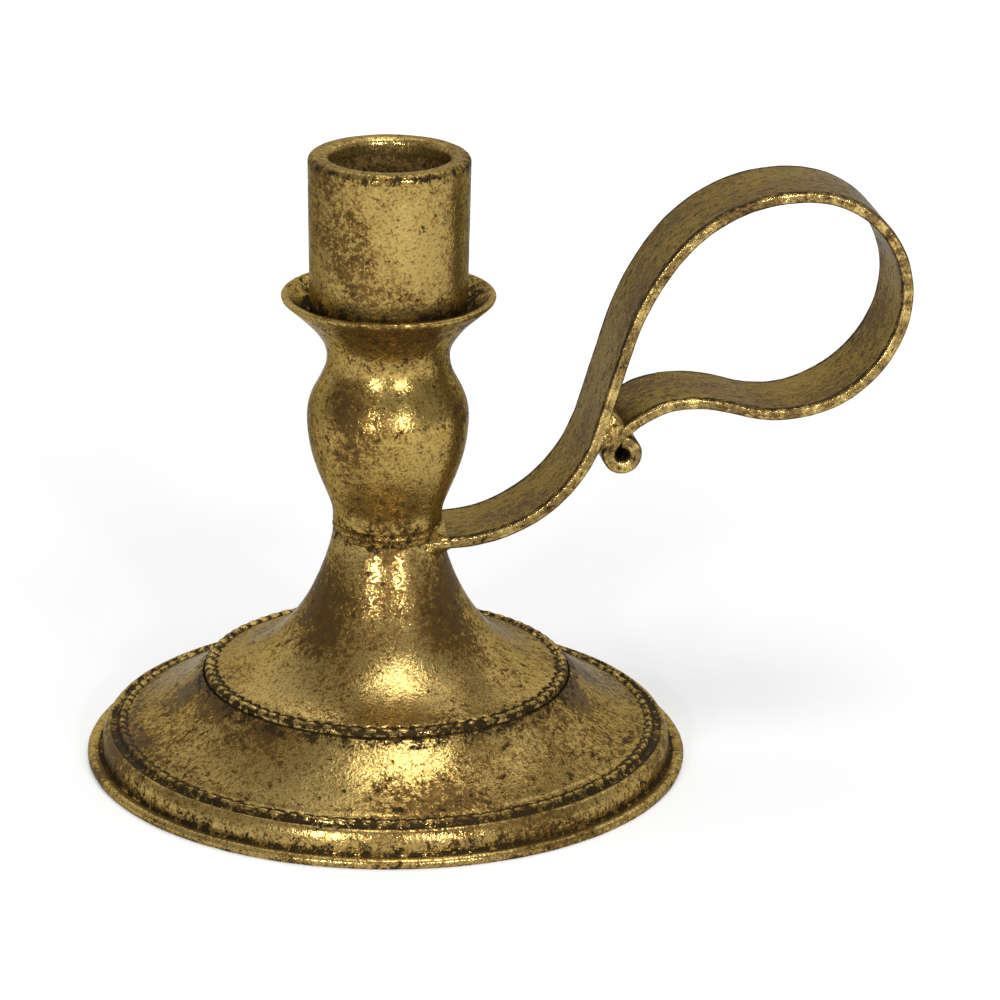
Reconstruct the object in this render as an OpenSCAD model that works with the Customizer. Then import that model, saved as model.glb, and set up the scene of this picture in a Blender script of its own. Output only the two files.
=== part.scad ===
// Chamber candlestick with a gilded antique finish: a thick-lipped cast candle cup stands in
// the flared drip collar of a turned stem, the stem stands on a pressed foot of two tiers, and
// one long screw clamps them together. A flat bar, brazed to the neck, is bent into the finger
// loop and ends in a small eye. Millimetres: the stem axis is Z, the foot rests on Z = 0 and
// the handle points along +X.

/* [Foot pan] */
// Radius of the foot over its rounded rim
foot_r = 57.5; // [52:0.5:66]
// Width of the rounded rim
rim_w = 2.2; // [1.6:0.1:3]
// Height of the rounded rim
rim_h = 1.9; // [1.6:0.1:3]
// Width of the steep moulding inside the rim
ovolo_w = 1.5; // [1.2:0.1:2.6]
// Height of the steep moulding
ovolo_h = 4.4; // [3:0.1:6]
// Width of the dark cove between the moulding and the scalloped bead
cove_w = 1.7; // [1:0.1:2.4]
// Diameter of the lower scalloped bead
low_bead_d = 1.3; // [1:0.1:2]
// Width of the ring of notches inside each bead
notch_w = 1.3; // [0.9:0.1:1.8]
// Rise of the dished band from the lower bead to the upper tier
band_rise = 9.6; // [7:0.1:14]
// Thickness of the pressed sheet of both tiers
sheet_t = 1.3; // [0.9:0.1:1.8]

/* [Trumpet foot] */
// Radius of the upper tier at its edge
trumpet_r = 34.9; // [32:0.1:38]
// Height of the upper tier from the foot pan to the neck joint
trumpet_h = 28.8; // [24:0.2:36]
// Height of its upright edge
trumpet_edge_h = 1; // [0.8:0.1:2.4]
// Diameter of the upper scalloped bead
top_bead_d = 1.8; // [1.4:0.1:2.6]
// Width of the crevice round the upper tier
crevice_w = 0.4; // [0.2:0.1:1.2]
// Depth of the crevice
crevice_d = 0.5; // [0.3:0.1:1.2]

/* [Stem] */
// Radius of the neck where stem and foot meet
neck_r = 10.4; // [9:0.1:12]
// Height of the ring at the bottom of the stem
neck_ring_h = 1.6; // [1:0.1:2.4]
// Length of the neck from the joint to the start of the bulb
neck_len = 4.1; // [3.2:0.1:7]
// Radius of the bulb
bulb_r = 15.3; // [13.5:0.1:18]
// Height from the top of the neck to the widest part of the bulb
bulb_rise = 19; // [15:0.5:24]
// Radius of the waist above the bulb
waist_r = 11.6; // [9.5:0.1:13]
// Height from the widest part of the bulb to the waist
waist_rise = 12.2; // [10:0.2:15]
// Radius of the drip collar over its lip
collar_r = 20.2; // [19:0.1:24]
// Height from the waist to the lip of the drip collar
collar_rise = 12; // [9:0.2:15]
// Thickness of the lip of the drip collar
collar_t = 1.4; // [1:0.1:2]
// Depth of the cup's seat below the lip
seat_depth = 3.6; // [2:0.1:4.4]
// Radius of the spigot under the stem
spigot_r = 6; // [5:0.1:7]
// Length of the spigot
spigot_h = 2.6; // [1.6:0.1:4]

/* [Candle cup] */
// Bore that takes the candle
candle_bore_d = 22.5; // [21:0.1:24]
// Depth of the straight bore
candle_bore_depth = 26.2; // [20:0.2:34]
// Thickness of the cup's wall
cup_wall = 4; // [3:0.1:5]
// Radius of the rounded corners of the cup's lip
lip_round = 1.2; // [0.5:0.1:1.9]
// How much the outside narrows towards the floor
cup_draft = 0.4; // [0:0.1:0.8]
// Thickness of the cup's floor
cup_floor = 3; // [2.6:0.1:4]

/* [Tie screw] */
// Diameter of the long screw that clamps cup, stem and foot
screw_d = 4; // [3:0.1:5]
// Diameter of its countersunk head
head_d = 8; // [7:0.1:9.5]
// Clearance round the screw in its holes
screw_gap = 0.25; // [0.1:0.05:0.5]
// Width across the flats of the nut
nut_af = 7; // [6.5:0.1:9]
// Height of the nut
nut_h = 3.2; // [2.4:0.1:4]
// Diameter of the washer under the foot pan
washer_d = 12; // [10:0.5:16]
// Thickness of the washer
washer_t = 1; // [0.6:0.1:1.6]
// Length of thread that shows below the nut
screw_tail = 1.5; // [0.5:0.1:3]

/* [Handle] */
// Width of the flat bar
bar_w = 19.2; // [15:0.1:19.6]
// Width of the bar where it meets the neck
bar_neck_w = 16.7; // [13:0.1:19]
// Width of the bar along its tail, under the loop
bar_tail_w = 17.9; // [13:0.1:19]
// Thickness of the flat bar
bar_t = 2.2; // [1.6:0.1:3]
// Radius of the first bend, up from the neck
rise_r = 28.9; // [25:0.1:34]
// Angle of the first bend
rise_a = 73; // [68:1:78]
// Straight length above the first bend
riser_len = 18; // [12:0.5:26]
// Radius of the slow bend at the shoulder of the loop
shoulder_r = 51; // [40:1:64]
// Angle of the slow bend at the shoulder
shoulder_a = 22; // [16:1:28]
// Radius of the bend over the top of the loop
crown_r = 30; // [26:0.5:36]
// Angle of the bend over the top
crown_a = 58; // [52:1:64]
// Radius of the bend at the outer end of the loop
nose_r = 20; // [18:0.5:24]
// Angle of the bend at the outer end
nose_a = 100; // [94:1:106]
// Radius of the bend under the loop
belly_r = 24; // [21:0.5:28]
// Angle of the bend under the loop
belly_a = 91; // [86:1:98]
// Inner radius of the small eye at the end of the bar
eye_r = 1.6; // [1.2:0.05:2]
// Gap between the eye and the bar that it lies against
eye_gap = 0.6; // [0.3:0.1:1]
// Height of the eye's centre from the top of the first bend, along the bar
eye_along = -2.3; // [-4:0.1:4]

/* [Hidden] */
$fn = 96;

// Colours of the gilded pieces, of the raw braze and of the fasteners
GILT = "#a98d45";
GILT_DULL = "#85713f";
GILT_BRIGHT = "#b89b52";
ZINC = "#9a9a96";

// Radii of the foot pan, from the rim inwards
groove_w = 0.6;
ovolo_r = foot_r - rim_w - groove_w;
ovolo_in_r = ovolo_r - ovolo_w;
low_bead_r = ovolo_in_r - cove_w - low_bead_d / 2;
band_r = low_bead_r - low_bead_d / 2 - notch_w;
// Heights of the foot pan, from the table upwards
ovolo_z = rim_h + ovolo_h;
low_bead_z = ovolo_z + low_bead_d / 8;
band_z = low_bead_z + low_bead_d * 0.7;
band_top_z = band_z + band_rise;
shelf_z = band_top_z - crevice_d;

// Heights and radii of the upper tier
joint_z = shelf_z + trumpet_h;
top_bead_r = trumpet_r - top_bead_d / 2;
top_bead_z = shelf_z + trumpet_edge_h;
sweep_r = trumpet_r - top_bead_d - notch_w;
sweep_z = top_bead_z + top_bead_d / 2;
// Angle at which the trumpet's slope starts, and the two pulls that shape it
sweep_a = 168;
sweep_pull = (sweep_r - neck_r) * 0.81;
neck_pull = 1.5;
// Angle over which each bead is round before its ring of notches begins
bead_a = 140;
// Headings of the cove, of the dished band and of the trumpet's end at the neck
cove_in_a = 235;
cove_out_a = 100;
band_low_a = 156;
band_top_a = 134;
sweep_end_a = 96;

// Heights of the stem
neck_z = joint_z + neck_len;
bulb_z = neck_z + bulb_rise;
waist_z = bulb_z + waist_rise;
collar_z = waist_z + collar_rise;
seat_z = collar_z - seat_depth;
// Angle of the flare at the lip of the drip collar
flare_a = 43;
neck_ring_out = 0.25;

// The cup, on the stem's seat
bore_r = candle_bore_d / 2;
cup_r = bore_r + cup_wall;
cup_base_r = cup_r - cup_draft;
cup_gap = 0.3;
cup_floor_z = seat_z + cup_floor;
lip_z = cup_floor_z + candle_bore_depth;
cup_corner = 1;

// The clamping screw
screw_r = screw_d / 2;
hole_r = screw_r + screw_gap;
head_h = head_d / 2 - screw_r;
washer_z = shelf_z - sheet_t - washer_t;
nut_z = washer_z - nut_h;
screw_end_z = nut_z - screw_tail;
spigot_gap = 0.05;
thread_gap = 0.05;
slot_w = 1;

// The bar starts straight beside the neck, its middle just under the neck joint, with a film
// of braze metal between them
braze_gap = 0.15;
bar_lead = 0.67;
bar_drop = 0.28;
eye_mid_r = eye_r + bar_t / 2;
// Heading with which the tail of the loop runs into the eye, and how far the eye turns
eye_in_a = 228;
eye_turn = 272;
// Pulls that shape the tail of the loop
tail_pull = 16;
hook_pull = 5.5;
// The braze metal stands back from the edges of the bar
braze_back = 0.6;

// Unit vector at an angle
function dir(a) = [cos(a), sin(a)];
// Points of an arc, without its first point
function arc(c, r, a0, a1, n) = [for (i = [1:n]) c + r * dir(a0 + (a1 - a0) * i / n)];
// Points of a smooth curve from p, leaving at angle a with pull u, to q, arriving at angle b
// with pull v, without its first point
function bow(p, a, u, q, b, v, n) = [for (i = [1:n]) let (t = i / n, s = 1 - t)
    s * s * s * p + 3 * s * s * t * (p + u * dir(a)) + 3 * s * t * t * (q - v * dir(b)) + t * t * t * q];
// Points of a bend from p with heading h: radius r, angle a, to the left when positive
function bend(p, h, r, a) = let (s = sign(a), n = ceil(abs(a) / 3), c = p + s * r * dir(h + 90))
    [for (i = [1:n]) c + s * r * dir(h + a * i / n - 90)];
// The path moved sideways, to the left of its heading when d is positive
function beside(path, d) = [for (i = [0:len(path) - 1])
    let (a = path[max(i - 1, 0)], b = path[min(i + 1, len(path) - 1)], u = (b - a) / norm(b - a))
    path[i] + d * [-u[1], u[0]]];
function backwards(path) = [for (i = [len(path) - 1:-1:0]) path[i]];
function last(path) = path[len(path) - 1];

// Outline of a body turned about the stem axis, closed down the axis or along an inner path
module turned(outline) rotate_extrude() polygon(outline);

// Foot pan: rim, groove, steep moulding, cove, bead, ring of notches, dished band, crevice and
// the flat shelf that the upper tier stands on
ovolo_steps = 12;
cove_start = [ovolo_in_r, ovolo_z];
cove_end = [low_bead_r + low_bead_d / 2, low_bead_z];
pan_out = concat(
    [[foot_r - rim_h / 4, 0], [foot_r - rim_h / 8, 0.15]],
    arc([foot_r - rim_h / 2, rim_h / 2], rim_h / 2, -45, 90, 10),
    [[foot_r - rim_w, rim_h - 0.15], [ovolo_r + 0.2, rim_h - groove_w * 0.7], [ovolo_r, rim_h]],
    [for (i = [1:ovolo_steps]) let (a = 90 * i / ovolo_steps)
        [ovolo_in_r + ovolo_w * cos(a), rim_h + ovolo_h * sin(a)]],
    bow(cove_start, cove_in_a, cove_w * 0.5, cove_end, cove_out_a, cove_w * 0.5, 8),
    arc([low_bead_r, low_bead_z], low_bead_d / 2, 0, bead_a, 12),
    [[band_r + notch_w, low_bead_z + low_bead_d / 3], [band_r + 0.1, band_z - 0.2]]);
band_in = [trumpet_r + crevice_w, band_top_z];
band_pull = (band_r - band_in[0]) * 0.45;
band_path = concat([[band_r, band_z]],
    bow([band_r, band_z], band_low_a, band_pull, band_in, band_top_a, band_pull, 20));
pan_shelf = [[band_in[0] - crevice_w / 3, shelf_z], [hole_r, shelf_z]];
pan_floor_z = shelf_z - sheet_t;
pan_in = concat(
    [[hole_r, pan_floor_z], [band_in[0] - sheet_t / 2, pan_floor_z]],
    backwards([for (p = beside(band_path, sheet_t)) if (p[1] < pan_floor_z - 0.2) p]),
    [[low_bead_r, low_bead_z - sheet_t],
     [ovolo_in_r - 0.3, ovolo_z - sheet_t - 0.4],
     [ovolo_r - sheet_t, rim_h + ovolo_h / 4], [ovolo_r - sheet_t, rim_h / 2],
     [foot_r - rim_w, 0]]);

module foot_pan() color(GILT) turned(concat(pan_out, band_path, pan_shelf, pan_in));

// Trumpet foot: upright edge, scalloped bead and the long sweep up to the neck, open below
sweep_path = concat([[sweep_r, sweep_z]],
    bow([sweep_r, sweep_z], sweep_a, sweep_pull, [neck_r, joint_z], sweep_end_a, neck_pull, 36));
trumpet_out = concat(
    [[trumpet_r - 0.2, shelf_z], [trumpet_r, shelf_z + 0.2], [trumpet_r, top_bead_z]],
    arc([top_bead_r, top_bead_z], top_bead_d / 2, 0, bead_a, 12),
    [[sweep_r + notch_w, top_bead_z + top_bead_d * 0.3]], sweep_path);
socket_r = spigot_r + spigot_gap;
socket_h = spigot_h + 0.4;
trumpet_in = concat(
    [[socket_r, joint_z], [socket_r, joint_z - socket_h]],
    backwards([for (p = beside(sweep_path, sheet_t))
        if (p[1] < joint_z - socket_h && p[0] > socket_r) p]),
    [[trumpet_r - sheet_t * 1.8, shelf_z]]);

module trumpet_foot() color(GILT) turned(concat(trumpet_out, trumpet_in));

// Stem: ring, neck, bulb, waist and the flared drip collar with the cup's seat
ring_r = neck_r + neck_ring_out;
stem_side = concat(
    [[neck_r - 0.3, joint_z], [neck_r, joint_z + 0.3]],
    arc([ring_r - neck_ring_h / 2, joint_z + neck_ring_h], neck_ring_h / 2, -60, 60, 8),
    [[neck_r, joint_z + neck_ring_h * 1.7]],
    [[neck_r, neck_z]],
    bow([neck_r, neck_z], 90, 3.5, [bulb_r, bulb_z], 90, bulb_rise / 2, 26),
    bow([bulb_r, bulb_z], 90, waist_rise / 2, [waist_r, waist_z], 90, waist_rise * 0.4, 20),
    bow([waist_r, waist_z], 90, 4.2, [collar_r - 0.2, collar_z - 1], flare_a, 4, 18));
collar_in = [cup_base_r + cup_gap, seat_z];
stem_outline = concat([[hole_r, joint_z - spigot_h], [spigot_r, joint_z - spigot_h],
    [spigot_r, joint_z]], stem_side, arc([collar_r - 0.45, collar_z - 0.45], 0.45, -20, 90, 6),
    [[collar_r - collar_t + 0.3, collar_z], [collar_r - collar_t, collar_z - 0.25]],
    [collar_in + [0.3, 0.1], collar_in, [hole_r, seat_z]]);

module stem() color(GILT) turned(stem_outline);

// Candle cup: rounded lip, straight candle bore and a floor countersunk for the screw
cup_outline = concat(
    [[hole_r, seat_z], [cup_base_r - cup_corner, seat_z]],
    arc([cup_base_r - cup_corner, seat_z + cup_corner], cup_corner, -90, 0, 6),
    [[cup_r, lip_z]], arc([cup_r - lip_round, lip_z], lip_round, 0, 90, 8),
    [[bore_r + lip_round, lip_z + lip_round]], arc([bore_r + lip_round, lip_z], lip_round, 90, 180, 8),
    [[bore_r, cup_floor_z], [hole_r, cup_floor_z]]);
countersink_r = head_d / 2 + screw_gap;

module candle_cup() color(GILT_BRIGHT) difference() {
    turned(cup_outline);
    translate([0, 0, cup_floor_z - countersink_r + hole_r])
        cylinder(h = countersink_r - hole_r, r1 = hole_r, r2 = countersink_r);
}

// Long countersunk screw from the cup's floor to the nut under the foot pan
module tie_screw() color(ZINC) difference() {
    union() {
        translate([0, 0, screw_end_z]) cylinder(h = cup_floor_z - screw_end_z, r = screw_r);
        translate([0, 0, cup_floor_z - head_h - screw_gap])
            cylinder(h = head_h, r1 = screw_r, r2 = head_d / 2);
    }
    translate([-head_d, -slot_w / 2, cup_floor_z - screw_gap - slot_w])
        cube([2 * head_d, slot_w, 2 * slot_w]);
}

// Washer between the foot pan and the nut
module foot_washer() color(ZINC) difference() {
    translate([0, 0, washer_z]) cylinder(h = washer_t, d = washer_d);
    translate([0, 0, washer_z - 1]) cylinder(h = washer_t + 2, r = hole_r);
}

// Hexagon nut that draws the whole candlestick together
module foot_nut() color(ZINC) difference() {
    translate([0, 0, nut_z]) cylinder(h = nut_h, d = nut_af / cos(30), $fn = 6);
    translate([0, 0, nut_z - 1]) cylinder(h = nut_h + 2, r = screw_r + thread_gap);
}

// Middle line of the bent bar in the plane of the handle
bar_start = [neck_r + braze_gap, joint_z - bar_drop];
rise_start = bar_start + [bar_lead, 0];
rise_path = bend(rise_start, 0, rise_r, rise_a);
riser_foot = last(rise_path);
riser_top = riser_foot + riser_len * dir(rise_a);
shoulder_path = bend(riser_top, rise_a, shoulder_r, -shoulder_a);
crown_in_a = rise_a - shoulder_a;
crown_path = bend(last(shoulder_path), crown_in_a, crown_r, -crown_a);
nose_in_a = crown_in_a - crown_a;
nose_path = bend(last(crown_path), nose_in_a, nose_r, -nose_a);
belly_in_a = nose_in_a - nose_a;
belly_path = bend(last(nose_path), belly_in_a, belly_r, -belly_a);
tail_a = belly_in_a - belly_a;
belly_mid = last(nose_path) + belly_r * dir(belly_in_a - 90);
tail_z = last(belly_path)[1];
// The eye lies against the riser, so its place is counted along the riser and across from it
eye_mid = riser_foot + eye_along * dir(rise_a)
    + (bar_t + eye_gap + eye_mid_r) * dir(rise_a - 90);
eye_start = eye_mid + eye_mid_r * dir(eye_in_a - 90);
tail_path = bow(last(belly_path), tail_a, tail_pull, eye_start, eye_in_a, hook_pull, 30);
eye_path = arc(eye_mid, eye_mid_r, eye_in_a - 90, eye_in_a - 90 + eye_turn, 30);
bar_path = concat([bar_start, rise_start], rise_path, [riser_top], shoulder_path, crown_path,
    nose_path, belly_path, tail_path, eye_path);
bar_outline = concat(beside(bar_path, bar_t / 2), backwards(beside(bar_path, -bar_t / 2)));

// A flat shape in the plane of the handle, made w wide across it
module across(w) rotate([90, 0, 0]) linear_extrude(height = w, center = true) children();

// The bar is filed narrower towards the neck, along its first bend
taper_x = bar_start[0] + rise_r * 0.26;
full_x = bar_start[0] + rise_r * 0.93;
module taper(s) translate([0, 0, bar_start[1] - 2 * bar_t]) linear_extrude(height = rise_r)
    polygon([[bar_start[0] - 1, s * bar_neck_w / 2], [taper_x, s * bar_neck_w / 2],
        [full_x, s * bar_w / 2], [full_x, s * bar_w], [bar_start[0] - 1, s * bar_w]]);

// Its tail is narrower too, from the belly of the loop to the riser
tail_x = [riser_foot[0] + 10.2, riser_foot[0] + 14, belly_mid[0] + 3.2, belly_mid[0] + 12.2];
module tail_taper(s) translate([0, 0, tail_z - 2.5 * bar_t]) linear_extrude(height = 8 * bar_t)
    polygon([[tail_x[0], s * bar_w / 2], [tail_x[1], s * bar_tail_w / 2],
        [tail_x[2], s * bar_tail_w / 2], [tail_x[3], s * bar_w / 2], [tail_x[3], s * bar_w],
        [tail_x[0], s * bar_w]]);

module handle_bar() color(GILT_DULL) difference() {
    across(bar_w) polygon(bar_outline);
    taper(1);
    taper(-1);
    tail_taper(1);
    tail_taper(-1);
}

// Braze metal that fills the corner under the end of the bar and wraps its corners to the neck
braze_drop = 4;
braze_out = 3.8;
braze_spread = 47;
bar_under_z = bar_start[1] - bar_t / 2;
braze_side = [for (p = sweep_path) if (p[1] > bar_under_z - braze_drop) p];
braze_tip = [neck_r + braze_out, bar_under_z + 0.3];
neck_braze_outline = concat(braze_side,
    [[neck_r, joint_z + bar_t / 4], [neck_r + braze_out, joint_z + bar_t / 4]],
    backwards(bow(braze_side[0], 60, 2, braze_tip, 30, 2, 8)));

module neck_braze() color(GILT_BRIGHT) difference() {
    rotate([0, 0, -braze_spread]) rotate_extrude(angle = 2 * braze_spread)
        polygon(neck_braze_outline);
    handle_bar();
}

// Braze metal that fills the wedge between the riser and the tail of the loop
wedge_len = 6.5;
wedge_low = riser_foot + (eye_along + eye_mid_r / 2) * dir(rise_a);
wedge_high = wedge_low + wedge_len * dir(rise_a);
tail_end = tail_path[len(tail_path) - 9];
tail_low = last(tail_path);

module loop_braze() color(GILT_BRIGHT) difference() {
    across(bar_w - 2 * braze_back) polygon([wedge_low, wedge_high, tail_end, tail_low]);
    handle_bar();
}

foot_pan();
trumpet_foot();
stem();
candle_cup();
tie_screw();
foot_washer();
foot_nut();
handle_bar();
neck_braze();
loop_braze();
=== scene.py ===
"""Chamber candlestick with an antique gilt finish, dressed for rendering.

The part stands on z = 0 with its stem on the z axis and its finger loop towards +x. All
sizes below are millimetres and angles degrees; meshes are written in metres.
"""

import math
import random

import bmesh
import bpy
from mathutils import Matrix, Vector


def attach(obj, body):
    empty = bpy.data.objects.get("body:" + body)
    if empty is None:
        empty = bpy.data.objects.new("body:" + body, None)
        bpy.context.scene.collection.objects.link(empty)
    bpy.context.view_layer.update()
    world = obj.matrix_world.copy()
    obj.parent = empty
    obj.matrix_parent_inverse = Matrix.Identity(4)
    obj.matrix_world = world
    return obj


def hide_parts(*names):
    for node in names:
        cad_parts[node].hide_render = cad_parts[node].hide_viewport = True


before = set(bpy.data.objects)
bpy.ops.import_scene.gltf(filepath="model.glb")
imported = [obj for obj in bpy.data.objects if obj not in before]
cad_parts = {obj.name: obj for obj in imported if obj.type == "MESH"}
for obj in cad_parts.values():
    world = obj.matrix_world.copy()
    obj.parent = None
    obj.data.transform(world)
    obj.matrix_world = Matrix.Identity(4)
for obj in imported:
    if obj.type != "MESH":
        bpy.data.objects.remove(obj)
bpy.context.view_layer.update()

# Foot pan
# The lower tier of the foot is pressed from brass sheet: a rounded rim, a steep quarter-round,
# a cove and a ring of pearls, then the dished band that rises to the upper tier. The pearls
# and the arcs above them are struck with a punch, one blow after another.
MM = 0.001
FOOT_R, RIM_W, RIM_H = 57.5, 2.2, 1.9
OVOLO_R, OVOLO_IN_R, OVOLO_H = 54.7, 53.2, 4.4
LOW_PEARL_D, ARC_W, LOW_PEARLS, COVE_W = 1.3, 1.3, 111, 1.7
LOW_PEARL_R = OVOLO_IN_R - COVE_W - LOW_PEARL_D / 2
BAND_R = LOW_PEARL_R - LOW_PEARL_D / 2 - ARC_W
OVOLO_Z = RIM_H + OVOLO_H
LOW_PEARL_Z = OVOLO_Z + LOW_PEARL_D / 8
BAND_Z = LOW_PEARL_Z + LOW_PEARL_D * 0.7
BAND_TOP_Z = BAND_Z + 9.6
SHELF_Z = BAND_TOP_Z - 0.5
TRUMPET_R, CREVICE_W, SHEET_T, HOLE_R = 34.9, 0.4, 1.3, 2.25


def way(a):
    return Vector((math.cos(math.radians(a)), math.sin(math.radians(a))))


def bow(p, a, u, q, b, v, n):
    """Points of a smooth curve from p, leaving at angle a with pull u, to q, arriving at
    angle b with pull v, without its first point."""
    p, q = Vector(p), Vector(q)
    c, d = p + u * way(a), q - v * way(b)
    steps = [i / n for i in range(1, n + 1)]
    return [(1 - t) ** 3 * p + 3 * (1 - t) ** 2 * t * c + 3 * (1 - t) * t * t * d + t ** 3 * q for t in steps]


def arc(c, r, a0, a1, n):
    return [Vector(c) + r * way(a0 + (a1 - a0) * i / n) for i in range(1, n + 1)]


def straight(p, q, n):
    """Points from p to q, without the first."""
    p, q = Vector(p), Vector(q)
    return [p + (q - p) * i / n for i in range(1, n + 1)]


def beside(path, d):
    """The path moved sideways, to the left of its heading when d is positive."""
    moved = []
    for i, p in enumerate(path):
        u = (path[min(i + 1, len(path) - 1)] - path[max(i - 1, 0)]).normalized()
        moved.append(p + d * Vector((-u.y, u.x)))
    return moved


def marked(points, wear=0.0, bead=0.0, ring=0.0, film=0.0):
    """Profile points with how rubbed (1) or how full of patina (-1) they are, how far the
    pearls and the arcs above them reach them, and how much old wax covers them."""
    return [(p[0], p[1], wear, bead, ring, film) for p in points]


def eased(rows, reach):
    """The marks spread to their neighbours along the profile, so that none ends sharply."""
    out = []
    for row in rows:
        total, sums = 0.0, [0.0, 0.0, 0.0, 0.0]
        for other in rows:
            w = math.exp(-((math.hypot(other[0] - row[0], other[1] - row[1]) / reach) ** 2))
            total += w
            sums = [s + w * m for s, m in zip(sums, other[2:])]
        out.append((row[0], row[1], *[s / total for s in sums]))
    return out


def dressed(name, mesh, sharp=180):
    """An object for a finished mesh, shaded smooth except over sharp edges."""
    mesh.shade_smooth()
    mesh.set_sharp_from_angle(angle=math.radians(sharp))
    piece = bpy.data.objects.new(name, mesh)
    bpy.context.scene.collection.objects.link(piece)
    return piece


def turned(name, rows, turns, sharp=180):
    """A closed profile of marked points turned about the stem axis into one closed mesh."""
    n = len(rows)
    verts, faces = [], []
    for k in range(turns):
        c, s = math.cos(2 * math.pi * k / turns), math.sin(2 * math.pi * k / turns)
        verts += [(row[0] * c * MM, row[0] * s * MM, row[1] * MM) for row in rows]
        m = (k + 1) % turns
        faces += [(k * n + i, k * n + (i + 1) % n, m * n + (i + 1) % n, m * n + i) for i in range(n)]
    mesh = bpy.data.meshes.new(name)
    mesh.from_pydata(verts, [], faces)
    if sum(rows[i - 1][0] * rows[i][1] - rows[i][0] * rows[i - 1][1] for i in range(n)) > 0:
        mesh.flip_normals()
    for k, mark in enumerate(("wear", "bead", "ring", "film")):
        values = [row[2 + k] for row in rows] * turns
        mesh.attributes.new(mark, "FLOAT", "POINT").data.foreach_set("value", values)
    return dressed(name, mesh, sharp)


def add(tree, kind, inputs=None, **settings):
    """One node with its settings; an input is a value, a socket, or a node, whose first output
    is meant."""
    made = tree.nodes.new(kind)
    for key, value in settings.items():
        setattr(made, key, value)
    for key, value in (inputs or {}).items():
        if isinstance(value, bpy.types.Node):
            value = value.outputs[0]
        if isinstance(value, bpy.types.NodeSocket):
            tree.links.new(value, made.inputs[key])
        else:
            made.inputs[key].default_value = value
    return made


def linear(hex_colour):
    """An sRGB hex colour as the linear colour that a socket takes."""
    parts = [int(hex_colour[i:i + 2], 16) / 255 for i in (1, 3, 5)]
    return (*[c / 12.92 if c <= 0.04045 else ((c + 0.055) / 1.055) ** 2.4 for c in parts], 1)


def per(mm):
    """Noise scale that gives features of that size on coordinates in metres."""
    return 1000 / mm


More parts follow.
